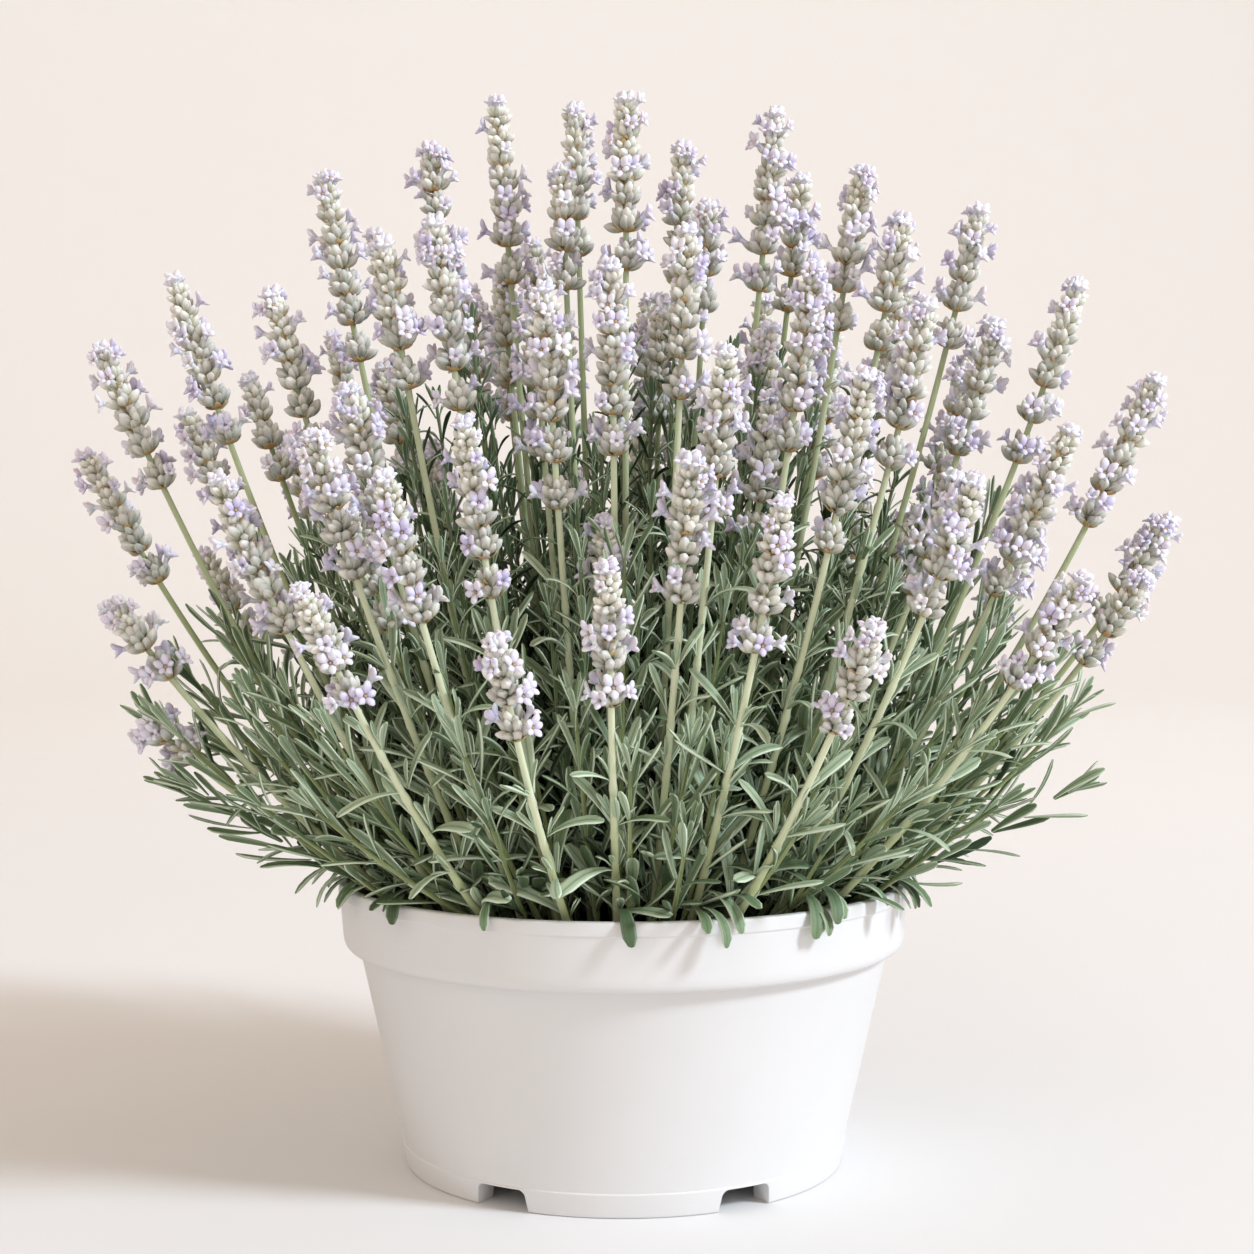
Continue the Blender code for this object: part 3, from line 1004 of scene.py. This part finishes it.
for index, (x, y, z, head) in enumerate(MORE_STALKS):
    stalks[f"more_stalk_{index + 1:02d}"] = (stalk_to(Vector((x, y, z)) * MM), head * MM)
for index in range(INNER_STALKS):
    spread = math.sqrt((index + 0.5) / INNER_STALKS)
    angle = 1.0 + index * GOLDEN
    across, deep = INNER_WIDE * math.cos(angle), INNER_DEEP * math.sin(angle) + INNER_BACK
    tip = Vector((across, deep, 0.0)) * spread
    tip.z = INNER_TOP - INNER_FALL * spread ** 2 + INNER_SCATTER * chance.normal()
    head = chance.uniform(*INNER_HEADS) * MM
    stalks[f"inner_stalk_{index + 1:02d}"] = (stalk_to(tip), head)
print("stalks in all:", len(stalks))

# %% [markdown]
# ## Stem, leaves and head together
#
# Each stalk is grown in one go: a stem with its joints, a head, and pairs of leaves on the lower
# part. Front stalks show more of their leaves, so theirs climb higher and stand at a slant to the
# viewer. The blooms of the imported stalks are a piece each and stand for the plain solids. The other
# heads, and all the leaves, are put together by a few stalks, which keeps the number of pieces low.

# %% Growing the stalks
STEM_FOOT_RADIUS = 1.60 * MM
STEM_TOP_RADIUS = 1.10 * MM
LEAF_LENGTH = 28 * MM
SHOOT_LEAF = 22 * MM
FIRST_PAIR = 8 * MM
PAIR_STEP = 19 * MM
FRONT_TIPS = -0.08
LEAFY_IN_FRONT = 0.80
LEAFY_AT_BACK = 0.60
STEM_SUNK = 5
HEADS_TOGETHER = 3
LEAVES_TOGETHER = 5
HEAD_FINISHES = (STEM_GREEN, BUD, PETAL, BRACT)
LEAF_FINISHES = (LEAF_GREEN, STEM_GREEN)

pieces = []


def finish_piece(piece, slot, *replaced):
    if replaced:
        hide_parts(*replaced)
    pieces.append(piece)


def pair_places(line, head):
    """The shares of a stalk where its pairs of leaves sit."""
    reach = line.length - head
    leafy = (LEAFY_AT_BACK if line.tip.y > FRONT_TIPS else LEAFY_IN_FRONT) * reach
    return [float(place / line.length) for place in np.arange(FIRST_PAIR, leafy, PAIR_STEP)]


def in_front(line):
    """0 for a stalk at the back of the plant, 1 for one in front."""
    return float(np.clip(0.45 - line.tip.y / 0.28, 0, 1))


def bloom_parts(line, head, joints):
    """The stem and the head of one stalk, as settings."""
    # Painted light: stems of front stalks are lighter.
    tone = 0.38 + 0.55 * in_front(line)
    whole = Stem(line.foot - UP * STEM_SUNK * MM, line.tip)
    stem = stem_body(whole, STEM_FOOT_RADIUS, STEM_TOP_RADIUS, joints)
    return [as_is(stem, tone, MAT_STEM)] + flower_head(line, head, chance.uniform(0.7, 1.3))


def stalk_leaves(line, joints):
    """The pairs of leaves of one stalk, as settings."""
    parts = []
    turn = chance.uniform(0, math.pi)
    if in_front(line) > 0.5:
        slanting = Vector((1.0, -1.0, 0.0))
        first, second = line.outward(0.4, 0.0), line.outward(0.4, math.pi / 2)
        turn = math.atan2(slanting.dot(second), slanting.dot(first)) + 0.2 * chance.normal()
    # Painted light: leaves of front stalks are lighter.
    tone = 0.25 + 0.62 * in_front(line)
    for step, joint in enumerate(joints):
        size = LEAF_LENGTH * (1.08 - 0.45 * joint)
        spread = 52 - 18 * joint
        leaf_pair(line, joint, size, spread, tone, parts, turn + step * math.pi / 2, width=1.25)
    return parts


heads, leaves = [], []
for index, (name, (line, head)) in enumerate(stalks.items()):
    joints = pair_places(line, head)
    last = index + 1 == len(stalks)
    bloom = bloom_parts(line, head, joints)
    leaves += stalk_leaves(line, joints)
    if name in nodes:
        finish_piece(grow(name + "_bloom", bloom, HEAD_FINISHES), "flower_stalk", name)
    else:
        heads += bloom
        if index % HEADS_TOGETHER == 0 or last:
            finish_piece(grow(name + "_blooms", heads, HEAD_FINISHES), "flower_stalk")
            heads = []
    if (index + 1) % LEAVES_TOGETHER == 0 or last:
        finish_piece(grow(name + "_leaves", leaves, (LEAF_GREEN,)), "lavender_leaf")
        leaves = []
print("pieces so far:", len(pieces))

# %% [markdown]
# ## Leafy shoots
#
# Between the stalks stand shoots without flowers, leaf pair above leaf pair, ending in a small
# tuft. Their feet follow a sunflower spiral over the soil, which spreads any number of them evenly,
# and their tips fan out as the stalks do, to a lower dome.

# %% Growing the shoots
SHOOT_COUNT = 192
SHOOT_FEET = 0.090
DOME_WIDE = 0.190
DOME_DEEP = 0.135
DOME_TOP = 0.312
DOME_EDGE = 0.165
DOME_LOWEST = 0.150
BUNDLE = 12
LOOSE_FROM = 0.72
LOOSE_LEAF = 27 * MM
SHOOT_STEP = 10 * MM
LOOSE_STEP = 14 * MM
LOOSE_WIDTH = 0.85
SHOOT_STEM = (1.2 * MM, 0.7 * MM)
SHOOT_SUNK = 2 * MM
TIP_SCATTER = 0.006
TOP_SCATTER = 0.016
TUFT_LEAVES = 5


def shoot_parts(line, tone, leaf_length, step_length, loose=False):
    """The stem and leaves of one shoot, as settings; a loose one is barer and straighter."""
    count = max(3, int(line.length / step_length))
    joints = [(step + 0.8) / (count + 0.3) for step in range(count)]
    joints = [joint for joint in joints if joint < 0.98]
    stem_tone = 0.32 + 0.40 * tone if loose else 0.5 * tone
    parts = [as_is(stem_body(line, *SHOOT_STEM, joints, around=6), stem_tone, 1)]
    turn = chance.uniform(0, math.pi)
    for step, joint in enumerate(joints):
        size = leaf_length * (1.05 - (0.25 if loose else 0.45) * joint ** 2)
        spread = (38 if loose else 48) - 20 * joint
        tuft = 1 if joint > 0.35 and not loose else 0
        bends = (0, 4) if loose else (1, 6)
        width = LOOSE_WIDTH if loose else 1.0
        # Painted light: leaves higher up the shoot are lighter.
        shade = tone + 0.32 * joint ** 2
        quarter = turn + step * math.pi / 2
        leaf_pair(line, joint, size, spread, shade, parts, quarter, tuft, bends, width)
    # Painted light: the tuft at the top is lighter still.
    for step in range(TUFT_LEAVES):
        out = line.outward(1.0, turn + 2 * math.pi * step / TUFT_LEAVES)
        axis = line.heading(1.0)
        direction = (axis + out * 0.28).normalized()
        size = leaf_length * chance.uniform(0.4, 0.65)
        parts.append(leaf(line.point(0.99), direction, axis * 0.3 - out, size, 1, tone + 0.25))
    return parts


bundle, bundles = [], 0
for index in range(SHOOT_COUNT):
    spread = math.sqrt((index + 0.5) / SHOOT_COUNT)
    angle = index * GOLDEN
    foot = Vector((math.cos(angle), math.sin(angle), 0.0)) * spread * SHOOT_FEET
    foot.z = soil_top - SHOOT_SUNK
    top = DOME_TOP - (DOME_TOP - DOME_EDGE) * spread ** 2 + TOP_SCATTER * chance.normal()
    tip = Vector((math.cos(angle) * DOME_WIDE, math.sin(angle) * DOME_DEEP, 0.0)) * spread
    aside, ahead = TIP_SCATTER * chance.normal(), TIP_SCATTER * chance.normal()
    tip += Vector((aside, ahead, max(top, DOME_LOWEST)))
    # Painted shade and light: shoots near the middle are dark, and those at the front edge lighter.
    shade = (0.32 + 0.28 * max(0.0, -math.sin(angle))) * spread ** 2
    line = Stem(foot, tip)
    if spread > LOOSE_FROM and chance.random() < spread:
        bundle += shoot_parts(line, shade, LOOSE_LEAF, LOOSE_STEP, True)
    else:
        bundle += shoot_parts(line, shade, SHOOT_LEAF, SHOOT_STEP)
    if (index + 1) % BUNDLE == 0:
        bundles += 1
        greens = grow(f"shoots_{bundles:02d}", bundle, LEAF_FINISHES)
        finish_piece(greens, "lavender_leaf")
        bundle = []
print("shoot bundles:", bundles)

# %% [markdown]
# ## Shoots over the rim
#
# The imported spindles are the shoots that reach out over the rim. Each is drawn as a barer shoot,
# a little shorter than its spindle, because its last leaves reach on past the end of its stem. The
# leaves stand further apart, so that the outline of the plant is loose there. Low down, single
# leaves stand all round inside the pot and some hang over its edge.

# %% Growing the edge
EDGE_TOGETHER = 3
SPINDLE_REACH = 0.91
SPINDLE_BOW = 0.5
SPINDLE_TIP_POINTS = 3
EDGE_TONE = 0.30


def spindle_line(node):
    """The line of a packed shoot: its foot, and its tip."""
    points = solid_points(node)
    reach = np.hypot(points[:, 0], points[:, 1])
    foot = points[np.argsort(points[:, 2])[:STALK_SIDES]].mean(axis=0)
    tip = points[np.argsort(reach)[-SPINDLE_TIP_POINTS:]].mean(axis=0)
    return Stem(foot, foot + (tip - foot) * SPINDLE_REACH, SPINDLE_BOW)


edge_names = [name for name in sorted(nodes) if name.startswith("leafy_shoot")]
for first in range(0, len(edge_names), EDGE_TOGETHER):
    group = edge_names[first:first + EDGE_TOGETHER]
    parts = []
    for name in group:
        parts += shoot_parts(spindle_line(name), EDGE_TONE, LOOSE_LEAF, LOOSE_STEP, True)
    finish_piece(grow(group[0] + "_leaves", parts, LEAF_FINISHES), "lavender_leaf", *group)

RIM_LEAVES = 46
INNER_LEAVES = 150
OVER_RIM = 1.5 * MM
RIM_WIDTH = 1.45


def rim_leaf(angle, over):
    """A leaf near the rim; one that goes over it must end outside the pot and below its edge."""
    out = Vector((math.cos(angle), math.sin(angle), 0.0))
    swing = angle + 0.45 * chance.normal()
    away = Vector((math.cos(swing), math.sin(swing), 0.0))
    lift = chance.uniform(-0.1, 0.5) if over else chance.uniform(0.3, 1.4)
    inside = chance.uniform(6, 14) if over else chance.uniform(12, 24)
    foot = out * (POT_RADIUS - inside * MM) + UP * (POT_TOP + chance.uniform(2, 9) * MM)
    size = LEAF_LENGTH * chance.uniform(0.60, 0.95)
    bend = chance.uniform(3, 7) if over else chance.uniform(1, 5)
    tone = chance.uniform(0.15, 0.6)
    item = leaf(foot, away + UP * lift, UP - away * lift, size, bend, tone, RIM_WIDTH)
    tip = item[0].points[-1] @ item[1].T + item[2]
    beyond = math.hypot(tip[0], tip[1]) > POT_RADIUS + OVER_RIM
    outside = beyond and tip[2] < POT_TOP - OVER_RIM
    return item if clear_of_rim(item) and (outside or not over) else None


skirt = []
for wanted, over in ((RIM_LEAVES, True), (RIM_LEAVES + INNER_LEAVES, False)):
    while len(skirt) < wanted:
        item = rim_leaf(2 * math.pi * chance.random(), over)
        if item:
            skirt.append(item)
finish_piece(grow("rim_leaves", skirt, (LEAF_GREEN,)), "lavender_leaf")

# %% [markdown]
# ## Pot
#
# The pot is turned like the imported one, from the same sizes, but finer and with every corner
# softened as a mould leaves it. Wedge-shaped notches let water out under the foot and round holes
# go through the floor. The white plastic is satin, with a faint unevenness in gloss and tone.

# %% The pot's sizes and outline
LIP_HEIGHT = 5.0 * MM
LIP_PROUD = 0.6 * MM
BAND_HEIGHT = 20.4 * MM
BAND_LOW_RADIUS = 112.8 * MM
BODY_TOP_RADIUS = 106.8 * MM
FOOT_RADIUS = 89.4 * MM
FOOT_HEIGHT = 9.2 * MM
FOOT_PROUD = 0.4 * MM
FOOT_WIDTH = 11.0 * MM
WALL = 2.4 * MM
FLOOR_THICKNESS = 2.6 * MM
HOLE_RADIUS = 8.0 * MM
BAND_DROP = 6 * MM
POT_STEPS = 192


def softened(corners, steps=4):
    """Corners as (radius, height, softening), each drawn as a short curve."""
    points = []
    for index, (radius, height, soft) in enumerate(corners):
        corner = Vector((radius, height))
        before = Vector(corners[index - 1][:2]) - corner
        after = Vector(corners[(index + 1) % len(corners)][:2]) - corner
        start = corner + before.normalized() * min(soft, before.length * 0.45)
        end = corner + after.normalized() * min(soft, after.length * 0.45)
        for step in range(steps + 1):
            share = step / steps
            points.append(tuple(start.lerp(corner, share).lerp(corner.lerp(end, share), share)))
    return points


def pot_corners():
    lip_low = POT_TOP - LIP_HEIGHT
    band_low = POT_TOP - BAND_HEIGHT - BAND_DROP
    inner_foot = FOOT_RADIUS - FOOT_WIDTH
    floor_high = FOOT_HEIGHT + FLOOR_THICKNESS
    return [
        (POT_RADIUS, POT_TOP, 1.2 * MM), (POT_RADIUS, lip_low, 0.3 * MM),
        (POT_RADIUS - LIP_PROUD, lip_low - LIP_PROUD, 0.3 * MM),
        (BAND_LOW_RADIUS, band_low, 5.5 * MM), (BODY_TOP_RADIUS, band_low, 1.0 * MM),
        (FOOT_RADIUS, FOOT_HEIGHT + FOOT_PROUD, 0.3 * MM),
        (FOOT_RADIUS + FOOT_PROUD, FOOT_HEIGHT, 0.3 * MM),
        (FOOT_RADIUS - 1.2 * MM, 0.0, 1.0 * MM), (inner_foot, 0.0, 0.6 * MM),
        (inner_foot + FOOT_PROUD, FOOT_HEIGHT, 0.6 * MM), (HOLE_RADIUS, FOOT_HEIGHT, 0.4 * MM),
        (HOLE_RADIUS, floor_high, 0.4 * MM), (FOOT_RADIUS - 1.8 * MM, floor_high, 1.0 * MM),
        (BODY_TOP_RADIUS - WALL, band_low, 1.0 * MM),
        (POT_RADIUS - 2 * WALL, lip_low, 1.0 * MM), (POT_RADIUS - 1.5 * WALL, POT_TOP, 1.0 * MM),
    ]


# %% [markdown]
# ## Cutting the drainage and softening the edges
#
# On the real pot the mould forms the notches and holes. Here a wedge for each notch and a cylinder
# for each hole are cut out of the turned body, all in one exact cut, and a small bevel then rounds
# the new edges. Cutting after turning keeps the pot's outline clean and each hole easy to move.

# %% Notches, holes and the finished pot
NOTCH_ANGLES = (31, 149, 211, 329)
NOTCH_LOW = 25.0 * MM
NOTCH_HIGH = 20.5 * MM
NOTCH_TALL = 8.7 * MM
NOTCH_DEEP = 34.0 * MM
NOTCH_SOFT = 2.5 * MM
DRAIN_RADIUS = 5.0 * MM
DRAIN_CIRCLE = 48.0 * MM
DRAINS = 6
NOTCH_SEGMENTS, DRAIN_SEGMENTS = 6, 48
PLASTIC_PALE, PLASTIC_DARK = (0.775, 0.762, 0.750), (0.730, 0.718, 0.706)
EDGE_SOFT = 0.5 * MM
EDGE_SEGMENTS = 2
SOFTEN_OVER = math.radians(55)
SHARP_OVER = math.radians(40)


def cutter(name, shape, angle, reach, height, collection):
    """A cutting body set at an angle in radians and a distance from the pot's axis."""
    mesh = bpy.data.meshes.new(name)
    shape.to_mesh(mesh)
    shape.free()
    item = bpy.data.objects.new(name, mesh)
    item.location = (math.cos(angle) * reach, math.sin(angle) * reach, height)
    item.rotation_euler = (0.0, 0.0, angle)
    collection.objects.link(item)


def pot_cutters():
    collection = bpy.data.collections.new("pot_cutters")
    for index, angle in enumerate(NOTCH_ANGLES):
        shape = bmesh.new()
        bmesh.ops.create_cube(shape, size=1.0)
        for vert in shape.verts:
            top = vert.co.z > 0
            width, height = (NOTCH_HIGH, NOTCH_TALL) if top else (NOTCH_LOW, -NOTCH_TALL)
            vert.co = Vector((vert.co.x * NOTCH_DEEP, vert.co.y * width, height))
        radial = []
        for edge in shape.edges:
            first, second = (vert.co for vert in edge.verts)
            if first.z > 0 and second.z > 0 and abs(first.x - second.x) > NOTCH_SOFT:
                radial.append(edge)
        bmesh.ops.bevel(
            shape, geom=radial, offset=NOTCH_SOFT, segments=NOTCH_SEGMENTS, profile=0.5,
            affect="EDGES",
        )
        cutter(f"notch_{index + 1}", shape, math.radians(angle - 90), FOOT_RADIUS, 0.0, collection)
    for index in range(DRAINS):
        shape = bmesh.new()
        bmesh.ops.create_cone(
            shape, cap_ends=True, segments=DRAIN_SEGMENTS, radius1=DRAIN_RADIUS,
            radius2=DRAIN_RADIUS, depth=4 * FLOOR_THICKNESS,
        )
        angle = 2 * math.pi * index / DRAINS
        cutter(f"drain_{index + 1}", shape, angle, DRAIN_CIRCLE, FOOT_HEIGHT, collection)
    return collection


def mix_plastic():
    paint = Paint("white_plastic", Specular_IOR_Level=0.45)
    cloud = paint.grain(22.0, 4.0)
    colour = paint.blend(cloud, PLASTIC_PALE, PLASTIC_DARK)
    peel = paint.grain(1100.0, 3.0)
    gloss = cloud * 0.14 + 0.38
    skin = paint.relief(peel, 0.06 * MM, 0.35)
    return paint.finish(Base_Color=colour, Roughness=gloss, Normal=skin)


def settled(piece, sharp):
    """The piece with its modifiers worked in and only its hard edges kept sharp."""
    ready = piece.evaluated_get(bpy.context.evaluated_depsgraph_get())
    shaped = bpy.data.meshes.new_from_object(ready)
    piece.modifiers.clear()
    piece.data = shaped
    shaped.polygons.foreach_set("use_smooth", np.full(len(shaped.polygons), True))
    shaped.set_sharp_from_angle(angle=sharp)
    return piece


pot = turned("moulded_pot", softened(pot_corners()), POT_STEPS, mix_plastic(), closed=True)
cut = pot.modifiers.new("drainage", "BOOLEAN")
cut.solver = "EXACT"
cut.operand_type = "COLLECTION"
cut.collection = pot_cutters()
soften = pot.modifiers.new("soften", "BEVEL")
soften.width = EDGE_SOFT
soften.segments = EDGE_SEGMENTS
soften.limit_method = "ANGLE"
soften.angle_limit = SOFTEN_OVER
finish_piece(settled(pot, SHARP_OVER), "white_plastic", "pot")
print("pot faces:", len(pot.data.polygons))

# %% [markdown]
# ## Soil
#
# The soil is a closed body that fills the pot. Its top is pushed up and down by two sizes of noise
# and strewn with crumbs and bits of bark, so that the dark gap behind the rim has something in it.

# %% Soil body and crumbs
SOIL_CLEAR = 0.6 * MM
SOIL_RINGS = 34
SOIL_SPOKES = 120
CRUMBS = 620
CRUMB_SIZES = (1.2, 4.5)
CRUMB_INSIDE = 4 * MM
CRUMB_SUNK = 0.4 * MM
SOIL_LOW = 0.8 * MM
MOUNDS, MOUND_HEIGHT = 60.0, 1.2 * MM
LUMPS, LUMP_HEIGHT = 300.0, 0.7 * MM
SOIL_SHADES = (
    (0.25, (0.010, 0.007, 0.004)), (0.55, (0.030, 0.020, 0.012)), (0.85, (0.075, 0.048, 0.028)),
)
CRUMB_SHADES = (
    (0.0, (0.012, 0.008, 0.005)), (0.7, (0.045, 0.028, 0.016)), (1.0, (0.13, 0.080, 0.042)),
)
CRUMB_DIRT = (0.02, 0.014, 0.009)


def mix_soil():
    paint = Paint("damp_soil", Roughness=0.93)
    coarse = paint.grain(180.0, 5.0)
    fine = paint.grain(1300.0, 3.0)
    colour = paint.ramp(coarse, *SOIL_SHADES)
    return paint.finish(Base_Color=colour, Normal=paint.relief(coarse + fine * 0.5, 1.2 * MM, 0.8))


def mix_crumb():
    paint = Paint("soil_crumb", Roughness=0.9)
    colour = paint.ramp(paint.carried("tone"), *CRUMB_SHADES)
    return paint.finish(Base_Color=paint.blend(paint.grain(700.0) * 0.5, colour, CRUMB_DIRT))


def soil_height(x, y):
    wide = noise.noise(Vector((x, y, 0.0)) * MOUNDS)
    small = noise.noise(Vector((x, y, 1.0)) * LUMPS)
    return soil_top - SOIL_LOW + MOUND_HEIGHT * wide + LUMP_HEIGHT * small


def soil_body():
    """The top as rings of points, a wall under the last ring and a flat base."""
    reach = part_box("soil")[1].x - SOIL_CLEAR
    floor_reach = FOOT_RADIUS - WALL - 2 * SOIL_CLEAR
    floor = FOOT_HEIGHT + FLOOR_THICKNESS + SOIL_CLEAR
    rings = [[(0.0, 0.0, soil_height(0.0, 0.0))]]
    for radius in np.linspace(0.0, reach, SOIL_RINGS)[1:]:
        ring = [(radius * math.cos(a), radius * math.sin(a)) for a in around_circle(SOIL_SPOKES)]
        rings.append([(x, y, soil_height(x, y)) for x, y in ring])
    outer = rings[SOIL_RINGS - 1]
    under_band = (BODY_TOP_RADIUS - WALL - SOIL_CLEAR, POT_TOP - BAND_HEIGHT - BAND_DROP)
    for radius, height in (under_band, (floor_reach, floor)):
        rings.append([(radius * x / reach, radius * y / reach, height) for x, y, _ in outer])
    rings.append([(0.0, 0.0, floor)])
    points = [point for ring in rings for point in ring]
    faces = []
    start = 1
    for spoke in range(SOIL_SPOKES):
        beside = (spoke + 1) % SOIL_SPOKES
        faces.append((0, 1 + spoke, 1 + beside))
        for row in range(len(rings) - 3):
            near, far = start + row * SOIL_SPOKES, start + (row + 1) * SOIL_SPOKES
            faces.append((near + spoke, far + spoke, far + beside, near + beside))
        last = start + (len(rings) - 3) * SOIL_SPOKES
        faces.append((last + spoke, len(points) - 1, last + beside))
    mesh = bpy.data.meshes.new("soil_body")
    mesh.from_pydata(points, [], faces)
    mesh.polygons.foreach_set("use_smooth", np.full(len(faces), True))
    mesh.materials.append(mix_soil())
    return put_in_scene("soil_body", mesh)


finish_piece(soil_body(), "potting_soil", "soil")
crumbs = []
for index in range(CRUMBS):
    reach = (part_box("soil")[1].x - CRUMB_INSIDE) * math.sqrt(chance.random())
    angle = chance.uniform(0, 2 * math.pi)
    place = Vector((reach * math.cos(angle), reach * math.sin(angle), 0.0))
    place.z = soil_height(place.x, place.y) - CRUMB_SUNK
    direction = Vector(chance.normal(size=3))
    size = MM * chance.uniform(*CRUMB_SIZES)
    tone = float(chance.random() ** 2)
    crumbs.append(setting(grain_shape, place, direction, UP, size, 1.2, tone))
finish_piece(grow("soil_crumbs", crumbs, (mix_crumb(),), smooth=False), "potting_soil")

# %% [markdown]
# ## Everything rides on the pot
#
# Nothing in a potted plant is hinged, so every piece rides on the one body.

# %% Finish
for piece in pieces:
    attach(piece, "root")
faces = sum(len(piece.data.polygons) for piece in pieces)
print("pieces:", len(pieces), "faces:", faces)
